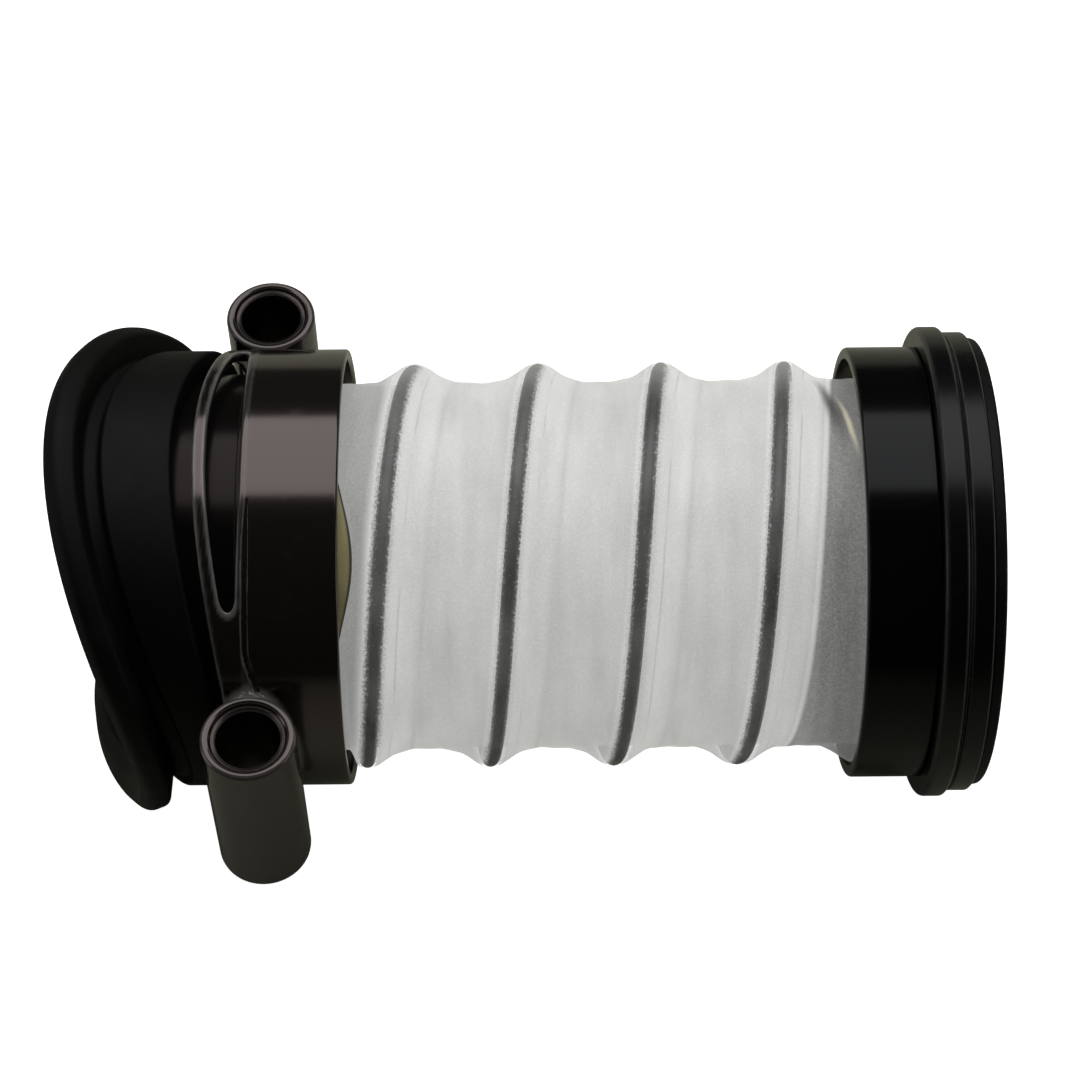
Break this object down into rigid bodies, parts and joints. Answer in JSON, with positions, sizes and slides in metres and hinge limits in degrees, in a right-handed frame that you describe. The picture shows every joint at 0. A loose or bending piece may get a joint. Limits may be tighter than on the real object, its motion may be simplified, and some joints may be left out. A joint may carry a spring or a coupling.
{
  "type": "sewer hose kit",
  "caption": "Short wire-reinforced sewer hose with a bayonet coupling, rubber boot and handle sockets at one end and a cuff with a swivel flange and face seal at the other.",
  "frame": {"origin": "centre of the pipe socket's mouth, on the hose axis", "axes": "+X along the hose axis from the bayonet coupling to the outlet, +Z along the handle sockets towards their mouths, +Y from the hose axis to the far handle socket"},
  "size_m": [0.1965, 0.128, 0.1052],
  "materials": {
    "pipe_plastic": "glossy dark brown-black",
    "boot_rubber": "matte black",
    "o_ring_rubber": "satin black",
    "washer_plastic": "natural",
    "spring_steel": "plain",
    "clamp_steel": "plain",
    "gasket_cream": "cream, soft sheen",
    "hose_film": "frosted translucent",
    "hose_wire": "grey coating",
    "grip_plastic": "glossy dark brown-black",
    "bush_plastic": "glossy dark",
    "cuff_plastic": "glossy blue-black",
    "flange_plastic": "glossy black",
    "seal_rubber": "matte black"
  },
  "bodies": {
    "inlet_coupling": {"pipe_stub": "pipe_plastic", "rubber_boot": "boot_rubber", "boot_stiffener": "pipe_plastic", "ring_o_ring": "o_ring_rubber", "ring_washer": "washer_plastic", "ring_snap_ring": "spring_steel", "inlet_clamp": "clamp_steel", "inlet_clamp_screw": "clamp_steel", "inlet_gasket": "gasket_cream", "film_inlet": "hose_film", "wire_inlet": "hose_wire"},
    "grip": {"grip_ring": "grip_plastic", "near_bush": "bush_plastic", "far_bush": "bush_plastic"},
    "hose_first_half": {"film_middle": "hose_film", "wire_middle": "hose_wire"},
    "hose_second_half": {"film_outlet": "hose_film", "wire_outlet": "hose_wire"},
    "outlet_coupling": {"cuff": "cuff_plastic", "outlet_spigot": "cuff_plastic", "outlet_gasket": "gasket_cream", "outlet_clamp": "clamp_steel", "outlet_clamp_screw": "clamp_steel", "swivel_o_ring": "o_ring_rubber", "swivel_washer": "washer_plastic", "swivel_snap_ring": "spring_steel"},
    "swivel": {"swivel_flange": "flange_plastic", "lock_ring": "flange_plastic", "face_seal": "seal_rubber"}
  },
  "joints": [
    {"name": "grip_turn", "type": "hinge", "parent": "inlet_coupling", "child": "grip", "pos_m": [0.032, 0, 0], "axis": [1, 0, 0], "range_deg": [0, 20]},
    {"name": "inlet_bend", "type": "hinge", "parent": "inlet_coupling", "child": "hose_first_half", "pos_m": [0.06125, 0, 0], "axis": [0, 0, 1], "range_deg": [-12, 12], "deforming": ["film_inlet", "wire_inlet"]},
    {"name": "hose_collapse", "type": "slide", "parent": "hose_first_half", "child": "hose_second_half", "axis": [1, 0, 0], "range_m": [-0.03, 0], "deforming": ["film_middle", "wire_middle"]},
    {"name": "outlet_bend", "type": "hinge", "parent": "hose_second_half", "child": "outlet_coupling", "pos_m": [0.12995, 0, 0], "axis": [0, 1, 0], "range_deg": [-12, 12], "deforming": ["film_outlet", "wire_outlet"]},
    {"name": "flange_swivel", "type": "hinge", "parent": "outlet_coupling", "child": "swivel", "pos_m": [0.168, 0, 0], "axis": [1, 0, 0], "continuous": true}
  ]
}
